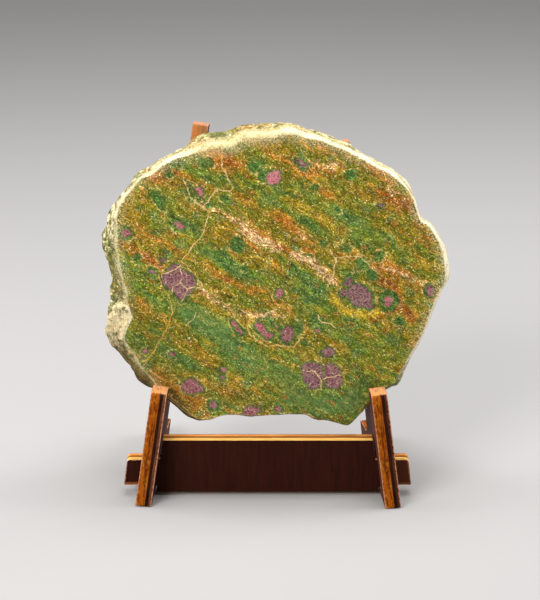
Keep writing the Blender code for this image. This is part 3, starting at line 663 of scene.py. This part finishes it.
def rock_matrix_group():
    """The green, olive and ochre rock between the rubies, streaked along its foliation.

    Its hue runs along one ramp from green to rust, driven by broad clouds, streaks and mottles that
    are all stretched along the foliation. Its brightness is a separate, finer grain."""
    tree, given, wanted = new_group(
        "rock_matrix", {"Place": None, "Green": 0.0, "Rust": 0.0, "Cream": 0.0, "Yellow": 0.0},
        ("Color", "Light"), ("Grain",))
    green, rust, cream, yellow = (given[kind] for kind in ("Green", "Rust", "Cream", "Yellow"))
    wave = noise(given["Place"], 0.11, 2, 0.5, 0, "Color")
    place = shifted(given["Place"], wave, 2.4)

    def along(lengths, shift=(0, 0, 0), moved=place):
        return stretched(moved, (0, 0, radians(FOLIATION)), lengths, shift)

    clouds = noise(along((5, 1, 3)), 0.13, 2, 0.5, 0.3)
    streaks = noise(along((7, 1, 2), (40, 9, 3)), 0.4, 4, 0.6, 0.3)
    mottle = noise(along((1.5, 1, 1), (7, 70, 5)), 0.5, 4, 0.6, 0.5)
    grain = noise(along((1.35, 1, 1)), 2, 3, 0.8, 0.2)
    tint = noise(along((1.6, 1, 1), (17, 3, 50)), 1.5, 3, 0.72, 0.3)
    hue = add(
        swing(clouds, 1.2), swing(streaks, 1.05), swing(mottle, 0.48), swing(tint, 0.28),
        times(rust, 0.42), times(green, -0.36), times(yellow, 0.16), 0.48)
    colour = ramp(
        hue, (0.1, (0.074, 0.16, 0.032)), (0.27, (0.105, 0.16, 0.018)), (0.42, (0.134, 0.144, 0.01)),
        (0.54, (0.172, 0.138, 0.008)), (0.66, (0.23, 0.14, 0.009)), (0.8, (0.3, 0.112, 0.009)),
        (0.95, (0.23, 0.068, 0.006)))
    vivid = ease(add(green, swing(mottle, 1.2)), 0.3, 1)
    golden = ease(add(yellow, swing(tint, 1)), 0.35, 0.85)
    ragged = noise(place, 0.9, 3, 0.65, 0, "Color")

    def blobs(lengths, shift, reach, scale, low, high, largest, soft):
        """Ragged blobs in a loose net's cells: none where a cell's own number is below low."""
        net = shifted(along(lengths, shift), ragged, reach)
        size = ease(cells(net, scale, "F1", "Color"), low, high, 0, largest)
        return ease(less(cells(net, scale), size), soft, -soft)

    grains = blobs((1.3, 1, 1), (9, 2, 4), 1.1, 0.25, 0.42, 0.78, 0.4, 0.06)
    spots = blobs((1.5, 1, 1), (4, 7, 1), 0.8, 0.42, 0.5, 0.8, 0.36, 0.08)
    # thin wisps along the foliation, and a wandering net of threads
    wisp = noise(along((5, 1, 2), (3, 30, 11)), 1.15, 3, 0.6, 0.5)
    wisp = times(ease(maths("ABSOLUTE", add(wisp, -0.5)), 0.035, 0.004), ease(mottle, 0.42, 0.62))
    net = cells(along((1.6, 1, 1), moved=shifted(place, wave, 3)), 0.135, "DISTANCE_TO_EDGE")
    thread = times(ease(net, 0.022, 0.006), ease(tint, 0.4, 0.58), ease(clouds, 0.42, 0.58))
    # cream bands: pale streaky crystals with orange brown between them
    pale = noise(along((2, 1, 1), (1, 9, 4)), 1.05, 3, 0.7, 0.8)
    band = ease(add(cream, swing(mottle, 1.3), swing(tint, 0.9)), 0.28, 0.7)
    # single pale and dark crystals all over, then the finest glints and specks
    fleck_place = along((1.3, 1, 1), (3, 5, 7))
    fleck = ease(cells(fleck_place, 1.55), 0.4, 0.16)
    chosen = add(cells(fleck_place, 1.55, "F1", "Color"), times(cream, 0.25),
                 times(rust, 0.12), times(green, -0.14))
    dust = noise(place, 2.6, 2, 0.5)
    glint = ease(add(dust, times(cream, 0.05), times(green, -0.03)), 0.652, 0.725)
    colour = lay(
        colour,
        (vivid, 0.55, mix(tint, (0.054, 0.126, 0.03), (0.145, 0.23, 0.066))),
        (grains, 0.62, mix(tint, (0.028, 0.078, 0.022), (0.11, 0.215, 0.055))),
        (spots, 0.55, mix(tint, (0.17, 0.05, 0.006), (0.42, 0.15, 0.02))),
        (golden, 0.68, (0.54, 0.35, 0.026)),
        (wisp, 0.38, (0.6, 0.48, 0.16)),
        (thread, 0.65, (0.6, 0.34, 0.075)),
        (band, 0.8, mix(ease(pale, 0.4, 0.6), (0.36, 0.115, 0.025), (0.92, 0.66, 0.34))),
        (times(fleck, ease(chosen, 0.62, 0.88)), 0.7, (0.76, 0.62, 0.27)),
        (times(fleck, ease(chosen, 0.38, 0.22)), 0.6, (0.03, 0.04, 0.008)),
        (glint, 0.85, (0.95, 0.86, 0.56)),
        (ease(add(dust, times(rust, -0.05)), 0.365, 0.3), 0.65, (0.12, 0.05, 0.01)))
    # brightness of the fine interlocking grains
    mid = noise(along((1.8, 1, 1), (27, 13, 8)), 0.62, 3, 0.65, 0.5)
    shine = add(times(grain, 0.58), times(mid, 0.28), times(streaks, 0.14))
    light = ramp(shine, (0.37, (0.2, 0.2, 0.2)), (0.5, (0.9, 0.9, 0.9)), (0.63, (2.9, 2.9, 2.9)))
    light = lay(light, (vivid, 0.4, (0.97, 0.97, 0.97)))
    feed(wanted, {"Light": light, "Color": colour, "Grain": grain})
    return tree


def rock_marks_group(matrix):
    """The whole rock: matrix, deep green grains and halos, rubies and veins, from the stored marks."""
    tree, given, wanted = new_group("rock_marks", {"Place": None}, ("Color",), ("Grain", "Ruby", "Crack"))
    place, mark = given["Place"], partial(attribute, tree)
    zones = {kind: mark(kind.lower() + "_zone") for kind in ("Green", "Rust", "Cream", "Yellow")}
    ground = group(matrix, Place=place, **zones)
    ragged = noise(place, 0.85, 5, 0.72)
    fine = noise(place, 1.55, 4, 0.75)
    blur = noise(place, 0.42, 3, 0.6)
    net_place = shifted(place, noise(place, 0.6, 2, 0.5, 0, "Color"), 0.9)

    edge = add(mark("green_grain"), swing(ragged, 3.6))
    skin = times(ease(maths("ABSOLUTE", add(edge, -0.45)), 0.32, 0.05), ease(blur, 0.46, 0.6))
    deep = mix(ease(fine, 0.34, 0.66), (0.022, 0.062, 0.013), (0.098, 0.202, 0.045))
    deep = lay(deep, (ease(fine, 0.6, 0.8), 0.5, (0.55, 0.5, 0.22)))
    colour = lay(ground["Color"], (skin, 0.6, (0.62, 0.5, 0.2)),
                 (ease(edge, 0.4, -0.4), ease(blur, 0.3, 0.55, 0.6, 0.95), deep))
    colour = mix(1, colour, ground["Light"], "MULTIPLY")

    edge = add(mark("ruby"), swing(ragged, 4), swing(fine, 2.6))
    ruby = ease(edge, 0.16, -0.16)
    flesh = ramp(
        add(mark("ruby_tone"), swing(blur, 0.6)), (0, (0.134, 0.062, 0.078)),
        (0.35, (0.182, 0.055, 0.073)), (0.65, (0.272, 0.058, 0.08)), (1, (0.48, 0.142, 0.18)))
    shade = ramp(fine, (0.36, (0.36, 0.34, 0.36)), (0.5, (0.9, 0.9, 0.9)), (0.66, (2.2, 2.2, 2)))
    mosaic = ease(cells(net_place, 0.85, "DISTANCE_TO_EDGE"), 0.16, 0.03)
    net = cells(net_place, 0.34, "DISTANCE_TO_EDGE")
    crack = times(ease(net, 0.045, 0.012), ease(ragged, 0.45, 0.6))
    stained = times(ease(blur, 0.56, 0.7), ease(fine, 0.45, 0.6))
    # on the rubies: a pale crackle, painted highlights as small bright pinkish flecks, pale cracks and
    # green stains
    flesh = lay(
        mix(1, flesh, shade, "MULTIPLY"), (mosaic, 0.28, (0.58, 0.36, 0.31)),
        (ease(fine, 0.62, 0.72), 0.4, (0.74, 0.5, 0.46)), (crack, 0.55, (0.78, 0.56, 0.38)),
        (stained, 0.5, (0.16, 0.22, 0.06)))
    # painted shade: the dark zone darkens the face towards the bottom and under the lower rim; then the
    # green halo at each ruby's edge
    colour = lay(colour, (mark("dark_zone"), 0.55, (0.02, 0.022, 0.004)),
                 (ease(edge, 0.8, 0.1), ease(fine, 0.42, 0.62, 0, 0.4), (0.026, 0.05, 0.014)))
    colour = mix(ruby, colour, flesh)

    across = maths("ABSOLUTE", add(mark("vein"), swing(ragged, 6.5)))
    line = ease(maths("DIVIDE", across, ease(fine, 0.32, 0.68, 0.25, 1.6)), 1.3, 0.5)
    line = maths("MAXIMUM", line, times(ease(across, 5.5, 1.5), ease(fine, 0.58, 0.68, 0, 0.8)))
    vein = times(line, ease(mark("near_vein"), 1.3, 0.8), ease(blur, 0.36, 0.56, 0.35, 1))
    vein_colour = mix(mark("vein_ochre"), (0.8, 0.6, 0.28), (0.66, 0.34, 0.06))
    feed(wanted, {
        "Color": lay(colour, (vein, 0.95, vein_colour)), "Grain": ground["Grain"], "Ruby": ruby,
        "Crack": maths("MAXIMUM", times(crack, ruby), vein)})
    return tree


def polished_rock(marks):
    """Polished face, rolled rim and broken rind of the stone.

    from_edge is how far a point is outside the polished face's own outline, in millimetres: the pale
    edge, partly the stone's own bruise and partly painted highlight, is a bump on it, and the skin of
    the rim sets in beyond it."""
    finish, tree, shader = new_finish("polished_rock", 0.2, Specular_IOR_Level=0.2)
    mark = partial(attribute, tree)
    place = mark("place", "Vector")
    rock = group(marks, Place=place)
    depth = node("SeparateXYZ", (place,)).outputs["Z"]
    from_edge, broken, creamy = (mark(name) for name in ("from_edge", "rim_rough", "rim_cream"))
    coarse = noise(place, 0.4, 4, 0.65, 0.3)
    pitted = noise(place, 1.25, 4, 0.75)
    crumbs = noise(place, 1.7, 3, 0.7)
    lichen = noise(place, 0.5, 6, 0.74)
    # the skin: grey green where broken, mossy olive patches, cream and rust
    skin = ramp(
        coarse, (0.34, (0.05, 0.066, 0.016)), (0.5, (0.18, 0.178, 0.055)), (0.66, (0.46, 0.39, 0.17)))
    shade = ramp(pitted, (0.34, (0.4, 0.4, 0.37)), (0.5, (0.95, 0.95, 0.95)), (0.66, (1.9, 1.9, 1.8)))
    skin = mix(1, skin, shade, "MULTIPLY")
    cream = mix(ease(pitted, 0.32, 0.56), (0.44, 0.345, 0.145), (0.88, 0.76, 0.48))
    share = add(creamy, swing(coarse, 1.6), swing(lichen, ease(broken, 0, 1, 1.6, 3)))
    cream_share = ease(share, 0.1, 0.8)
    skin = mix(cream_share, skin, cream)
    rust_share = ease(add(mark("rim_rust"), swing(lichen, 1.6)), 0.3, 0.8)
    rust = mix(ease(pitted, 0.35, 0.6), (0.2, 0.09, 0.015), (0.66, 0.38, 0.1))
    skin = mix(rust_share, skin, rust)
    patch = ease(add(coarse, swing(pitted, 0.5)), 0.4, 0.62, 0.25, 0.85)
    skin = lay(skin, (rock["Ruby"], 0.7, rock["Color"]), (patch, ease(cream_share, 1, 0.3), rock["Color"]))
    mottled = ramp(
        lichen, (0.34, (0.52, 0.51, 0.46)), (0.5, (0.97, 0.97, 0.96)), (0.66, (1.4, 1.4, 1.36)))
    skin = mix(ease(broken, 0, 1, 0.6, 1), skin, mottled, "MULTIPLY")
    shadowed = times(ease(mark("dark_zone"), 0.1, 0.5), ease(depth, 0.8, 3.2))
    skin = lay(skin, (shadowed, ease(pitted, 0.52, 0.62, 0.9, 0.35), (0.042, 0.026, 0.006)))
    wandering = add(from_edge, swing(pitted, 2.2))
    rim = mix(broken, ease(wandering, 2.2, 5.5), ease(wandering, 0.1, 1.3))
    rim = times(rim, ease(depth, SLAB_THICKNESS - 0.05, SLAB_THICKNESS - 0.4))
    # the pale edge of the face, partly the stone's own bruise and partly painted highlight, and painted
    # glare of the top light just inside it where the rim is rolled
    wide = mark("edge_pale")
    inner = add(from_edge, swing(pitted, 1.4))
    # partly painted highlight where the face's edge catches the light, partly the stone's own chipped pale
    # edge
    bruise_and_highlight = times(
        ease(inner, -0.35, 0.55), ease(less(inner, wide), 0.7, -0.7), ease(wide, 0.1, 1),
        ease(add(coarse, swing(pitted, 0.8)), 0.3, 0.48, 0.3, 1))
    white = mix(ease(pitted, 0.25, 0.6), (0.58, 0.45, 0.21), (0.99, 0.92, 0.72))
    mossy = mix(ease(pitted, 0.28, 0.66), (0.24, 0.22, 0.06), (0.8, 0.72, 0.38))
    close = ease(wandering, 5.5, 3)
    speckled = times(
        ease(add(from_edge, swing(coarse, 4)), -3.6, 0.6), ease(crumbs, 0.5, 0.6),
        ease(wide, 0.8, 2.2), close)
    # painted glare: a pale cream colour where the top light reflects off the rolled rim
    painted_glare = times(
        ease(add(from_edge, swing(coarse, 5), swing(pitted, 2.2)), -4.5, 2.5), close,
        ease(pitted, 0.34, 0.62), mark("edge_glare"))
    colour = lay(
        mix(rim, rock["Color"], skin), (bruise_and_highlight, 0.92, mix(ease(creamy, 0.3, 0.6), mossy, white)),
        (speckled, 0.75, (0.86, 0.74, 0.5)), (painted_glare, 0.8, (0.66, 0.52, 0.26)))
    roughness = add(ease(rock["Grain"], 0.2, 0.8, 0.14, 0.28), times(rim, broken, 0.42),
                    times(rock["Crack"], 0.15), times(rim, 0.15))
    height = add(times(pitted, times(rim, ease(broken, 0, 1, 0.3, 1))),
                 times(rock["Crack"], -0.06), times(rock["Grain"], 0.02))
    dress(shader, colour, roughness, height, 0.0009)
    return finish


def sawn_back(marks):
    """The sawn, unpolished back: the same rock, paler and chalky, with faint saw lines."""
    finish, tree, shader = new_finish("sawn_back", 0.75, IOR=1.5)
    place = attribute(tree, "place", "Vector")
    dust = noise(place, 0.9, 4, 0.7)
    lines = noise(stretched(place, (0, 0, radians(9)), (40, 0.55, 1)), 1, 3, 0.6, 0.2)
    chalk = ease(add(times(dust, 0.6), times(lines, 0.4)), 0.32, 0.68, 0.1, 0.48)
    colour = mix(chalk, group(marks, Place=place)["Color"], (0.5, 0.5, 0.38))
    height = add(times(lines, 0.7), times(dust, 0.3))
    dress(shader, colour, ease(dust, 0.2, 0.8, 0.62, 0.85), height, 0.0005)
    return finish


def plywood_group():
    """Wood of thin glued layers, seen on cut edges, with a dark veneer outside.

    Place is in millimetres: x and y along the board, z through it from its middle. Layers is how far
    z runs from one outer veneer to the other, as 0 to 1, and Rim the colour of the last layer. Edge
    is the colour of a cut edge, Veneer that of the outer veneer, Top_lit a paler wood colour painted
    where light from above falls on a post's top end, and Relief a small height."""
    tree, given, wanted = new_group(
        "plywood", {"Place": None, "Layers": 0.5, "Rim": (0.2, 0.08, 0.04, 1.0)},
        ("Edge", "Veneer", "Top_lit"), ("Grain", "Relief"))

    def figure(lengths, detail, roughness, shift=(0, 0, 0), distortion=0):
        place = stretched(given["Place"], (0, 0, 0), lengths, shift)
        return noise(place, 1, detail, roughness, distortion)

    layer = add(given["Layers"], swing(figure((9, 9, 3), 2, 0.5), 0.06))
    streaks = figure((7, 7, 0.65), 4, 0.72)
    hairs = figure((3.5, 3.5, 0.16), 2, 0.6, (3, 8, 2))
    blotch = figure((2.2, 2.2, 1.2), 3, 0.6, (30, 4, 9))
    warm = mix(ease(streaks, 0.38, 0.6), (0.105, 0.018, 0.0006), (0.35, 0.083, 0.0024))
    warm = lay(warm, (ease(blotch, 0.5, 0.68), 0.7, (0.47, 0.155, 0.01)),
               (ease(hairs, 0.42, 0.3), 0.75, (0.05, 0.01, 0.0006)))
    dark = mix(ease(streaks, 0.34, 0.66), (0.006, 0.0015, 0.0006), (0.04, 0.009, 0.002))
    shaded = mix(0.65, given["Rim"], (0.02, 0.005, 0.002))
    rim = mix(ease(streaks, 0.34, 0.66), shaded, given["Rim"])
    edge = mix(ease(layer, 0.565, 0.6), warm, mix(ease(layer, 0.77, 0.815), dark, rim))
    top_lit = mix(ease(hairs, 0.34, 0.64), (0.33, 0.12, 0.045), (0.64, 0.33, 0.185))
    top_lit = mix(ease(blotch, 0.44, 0.62), top_lit, (0.66, 0.29, 0.075))
    pores = figure((0.16, 2.6, 0.3), 2, 0.6)
    grain = add(times(figure((1.1, 16, 1.1), 5, 0.65, distortion=0.4), 0.65),
                times(figure((3.2, 34, 3.2), 3, 0.6, (5, 60, 0), 0.8), 0.35))
    veneer = mix(ease(grain, 0.28, 0.72), (0.02, 0.004, 0.0018), (0.038, 0.0078, 0.0034))
    veneer = lay(veneer, (ease(pores, 0.62, 0.76), 0.35, (0.01, 0.003, 0.002)))
    relief = add(times(streaks, 0.5), times(pores, 0.5))
    feed(wanted, {"Edge": edge, "Veneer": veneer, "Top_lit": top_lit, "Grain": ease(grain, 0.34, 0.66),
                  "Relief": relief})
    return tree


def wear_and_highlight_group():
    """Pale corners, broken up by chips: partly rubbed wear, partly painted highlight where corners catch
    the light.

    Place is in millimetres, Distance how far a point is from its corner in millimetres and Reach how
    far the wear and highlight run in. Worn_and_highlit is 1 where the corner is painted fully pale,
    rubbed bare and highlit."""
    tree, given, wanted = new_group(
        "wear_and_highlight", {"Place": None, "Distance": 9.0, "Reach": 0.26}, (), ("Worn_and_highlit",))
    chip = noise(given["Place"], 0.9, 4, 0.7)
    reach = times(given["Reach"], ease(chip, 0.32, 0.66, 0.25, 1.8))
    feed(wanted, {"Worn_and_highlit": ease(maths("DIVIDE", given["Distance"], reach), 1.2, 0.6)})
    return tree


def plate_matrix(side):
    """A side plate's axes in the stand: x along the foot to the back, y up, z through it, to +X."""
    sign, lean, toe = side["sign"], radians(side["lean"]), radians(side["toe"])
    corner = Vector((sign * FOOT_HALF_SPAN, -side["forward"], -SOLE_WEAR))
    back = Vector((-sign * sin(toe), cos(toe), 0.0))
    inwards = Vector((-sign * cos(toe), -sin(toe), 0.0))
    up = inwards * sin(lean) + Vector((0.0, 0.0, cos(lean)))
    across = back.cross(up)
    turned = Matrix((back, up, across)).transposed().to_4x4()
    return Matrix.Translation(FRONT_FOOT + corner + across * (sign * PLY / 2)) @ turned


WORN_AND_HIGHLIT_CORNER = (0.5, 0.235, 0.135)      # colour where the veneer is rubbed off, also laid as painted highlight on the corners
RAKE = radians(11.2)          # the posts and uprights lean back
POST_HEIGHT = 38.9
POST_DEPTH = 8.6
SEAT_DEPTH = 14.0
FLAT = (0.03, 0.01)           # millimetres under a board's outer face, where its veneer starts
TOP_LIT_HEIGHTS = (POST_HEIGHT - 0.72, POST_HEIGHT - 0.4)       # heights between which a post's end is painted paler, as lit from above
TOP_LIT_DEPTHS = (16, 14)         # and how far behind the post's front that ends
LIT_TIP = (104, 112)          # heights between which an upright's edge grows paler


def board_finish(name, turn, shift):
    """A board's finish and shader, and its own coordinates: whole, and then x, y and z."""
    finish, tree, shader = new_finish(name, 0.6, Specular_IOR_Level=0.06)
    seen = node("TexCoord", tree=tree).outputs["Object"]
    local = stretched(seen, tuple(turn), (MM, MM, MM), tuple(shift * MM))
    return finish, shader, local, *node("SeparateXYZ", (local,)).outputs


def side_finish(name, side, plywood, wear_and_highlight):
    """Cut edges, veneered faces, the post's top painted as lit from above, and worn and highlit corners."""
    matrix = plate_matrix(side)
    finish, shader, local, back, up, across = board_finish(name, matrix.to_euler(), matrix.translation)
    layers = add(times(across, 1 / PLY), 0.5)
    wood = group(plywood, Place=local, Layers=layers, Rim=side["rim"])
    under = less(PLY / 2, maths("ABSOLUTE", across))
    face = ease(under, *FLAT)
    from_front = times(add(back, times(up, -tan(RAKE))), cos(RAKE))
    tip_along = side["tip"] / cos(RAKE) + POST_DEPTH * sin(RAKE) + SEAT_DEPTH * tan(RAKE)
    from_tip = add(times(up, -cos(RAKE)), times(back, -sin(RAKE)), tip_along)
    distance = maths("MINIMUM", choose(face, under, from_front), from_tip)
    worn_and_highlit = group(wear_and_highlight, Place=local, Distance=distance)["Worn_and_highlit"]
    # painted light: the post's top end takes the paler wood colour, as lit from above
    top = times(ease(up, *TOP_LIT_HEIGHTS), ease(from_front, *TOP_LIT_DEPTHS))
    cut = mix(top, wood["Edge"], wood["Top_lit"])
    cut = mix(ease(up, *LIT_TIP, 0, 0.3), cut, (0.9, 0.42, 0.16))
    skin = mix(wood["Grain"], (0.12, 0.037, 0.025), (0.255, 0.088, 0.06))
    skin = mix(0.5, wood["Veneer"], skin)
    colour = lay(mix(face, cut, skin), (worn_and_highlit, 0.9, WORN_AND_HIGHLIT_CORNER))
    dress(shader, colour, ease(wood["Relief"], 0.3, 0.7, 0.55, 0.75), wood["Relief"], 0.00025)
    return finish


BAR_THICKNESS = 5.2
BAR_BOTTOM = 1.4
TENON_BOTTOM = 3.9
TENON_TOP = 13.3
TENON_ROOT = 43.0             # beyond this half width only the tenons are left
UNMARKED_DISTANCE = 9.0                  # a distance that the rubbed wear and painted highlight never reach


def bar_finish(plywood, wear_and_highlight):
    """The crossbar: dark walnut in front, then bright ply, a dark line and orange ply.

    Its own x runs along the bar, y up it and z forwards from its front face."""
    front = FRONT_FOOT + Vector((0.0, BAR_FRONT_IN_STAND, BAR_BOTTOM))
    finish, shader, local, along, up, forward = board_finish("crossbar_wood", (radians(90), 0, 0), front)
    depth = times(forward, -1)
    through = times(depth, 1 / BAR_THICKNESS)
    wood = group(plywood, Place=local, Layers=through)
    under = maths("MINIMUM", depth, add(BAR_THICKNESS, forward))
    face = ease(under, *FLAT)
    half = maths("ABSOLUTE", along)
    low, high = TENON_BOTTOM - BAR_BOTTOM, TENON_TOP - BAR_BOTTOM
    lean = tan(radians((LEFT["lean"] + RIGHT["lean"]) / 2))
    left_end = FRONT_FOOT.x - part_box("crossbar")[0].x / MM
    right_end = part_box("crossbar")[1].x / MM - FRONT_FOOT.x
    reach = choose(ease(along, -1, 1), left_end, right_end)
    above = add(up, -low)
    from_end = add(less(reach, half), times(above, -lean))
    from_sides = maths("MINIMUM", above, less(high, up))
    tenon = ease(half, TENON_ROOT - 0.5, TENON_ROOT)
    distance = choose(face, under, maths("MINIMUM", from_end, from_sides))
    worn_and_highlit = group(wear_and_highlight, Place=local, Distance=choose(tenon, UNMARKED_DISTANCE, distance))["Worn_and_highlit"]
    streaks = wood["Relief"]
    bright = mix(ease(streaks, 0.38, 0.62), (0.68, 0.32, 0.055), (0.94, 0.61, 0.2))
    orange = mix(ease(streaks, 0.38, 0.62), (0.52, 0.16, 0.028), (0.94, 0.43, 0.125))
    edge = mix(ease(through, 0.415, 0.44), bright, (0.22, 0.062, 0.007))
    edge = mix(ease(through, 0.65, 0.68), edge, orange)
    # the tenons' faces paler, more so to the right, and a painted highlight along each tenon's lower edge
    skin = lay(wood["Veneer"], (tenon, ease(along, -1, 1, 0, 0.5), (0.2, 0.06, 0.026)),
               (tenon, ease(up, low + 1.3, low + 0.7, 0, 0.7), (0.3, 0.1, 0.03)))
    colour = lay(mix(face, edge, skin), (worn_and_highlit, 0.9, WORN_AND_HIGHLIT_CORNER))
    dress(shader, colour, ease(streaks, 0.3, 0.7, 0.55, 0.75), streaks, 0.0002)
    return finish


# ---------------- building
marks_rock = rock_marks_group(rock_matrix_group())
stone = make_stone(polished_rock(marks_rock))
stone.data.materials.append(sawn_back(marks_rock))
# the sawn back takes the second finish: the quads after the rim's, and the last fan
first_back = (FACE_RINGS + RIM_RINGS - 1) * STONE_ANGLES
second = (np.arange(len(stone.data.polygons)) >= first_back).astype(np.int32)
second[-2 * STONE_ANGLES:-STONE_ANGLES] = 0
stone.data.polygons.foreach_set("material_index", second)

plywood, wear_and_highlight = plywood_group(), wear_and_highlight_group()
for name, finish, slot in (
    ("left_side", side_finish("left_side_wood", LEFT, plywood, wear_and_highlight), "stand_ply"),
    ("right_side", side_finish("right_side_wood", RIGHT, plywood, wear_and_highlight), "stand_ply"),
    ("crossbar", bar_finish(plywood, wear_and_highlight), "dark_faced_ply"),
):
    board = bpy.data.objects[name]
    board.data.materials.clear()
    board.data.materials.append(finish)

# ---------------- floor, light and camera
scene = bpy.context.scene
floor_mesh = bpy.data.meshes.new("floor")
corners = [(-6, -6, 0), (6, -6, 0), (6, 12, 0), (-6, 12, 0)]        # metres, past the view's edges
floor_mesh.from_pydata(corners, [], [(0, 1, 2, 3)])
floor = bpy.data.objects.new("floor", floor_mesh)
scene.collection.objects.link(floor)
plain, tree, shader = new_finish(
    "floor_plain", 0.8, Base_Color=(0.36, 0.36, 0.37, 1.0), Emission_Strength=0.13)
# beyond the lamps' reach the floor takes the backdrop's tone, so that no dark band shows behind
seen = node("TexCoord", tree=tree).outputs["Object"]
away = node("VectorMath", (seen,), operation="LENGTH").outputs["Value"]
feed(shader.inputs, {"Emission Color": mix(ease(away, 0.5, 1.8), (0, 0, 0), (1, 1, 1))})
floor_mesh.materials.append(plain)

world = bpy.data.worlds.new("studio")
scene.world = world
world.use_nodes = True
world.node_tree.nodes["Background"].inputs["Color"].default_value = (0.9, 0.9, 0.9, 1.0)
world.node_tree.nodes["Background"].inputs["Strength"].default_value = 0.22

LAMP_TARGET = (0.0, 0.0, 0.06)         # metres, about the middle of the stone


def soft_light(name, place, size, power, colour):
    """A square lamp at place, turned to face the object; places in metres."""
    lamp = bpy.data.lights.new(name, "AREA")
    lamp.shape = "SQUARE"
    lamp.size = size
    lamp.energy = power
    lamp.color = colour
    holder = bpy.data.objects.new(name, lamp)
    holder.location = place
    holder.rotation_euler = (Vector(LAMP_TARGET) - Vector(place)).to_track_quat("-Z", "Y").to_euler()
    scene.collection.objects.link(holder)


soft_light("top_light", (0.05, 0.1, 0.75), 0.45, 6.0, (1.0, 0.97, 0.92))
soft_light("right_light", (0.6, 0.12, 0.32), 0.35, 3.2, (1.0, 0.98, 0.95))
soft_light("left_light", (-0.6, 0.12, 0.38), 0.35, 2.6, (1.0, 0.98, 0.95))
soft_light("front_light", (-0.45, -0.55, 0.5), 0.4, 6.5, (1.0, 0.97, 0.92))

view = bpy.data.cameras.new("view")
view.lens = 114.23
view.sensor_width = 36.0
view.clip_start = 0.01
camera = bpy.data.objects.new("view", view)
camera.location = Vector((-2.097, -607.249, 285.69)) * MM
camera.rotation_euler = (radians(69.91), 0.0, 0.0)
scene.collection.objects.link(camera)
scene.camera = camera
scene.view_settings.view_transform = "Standard"
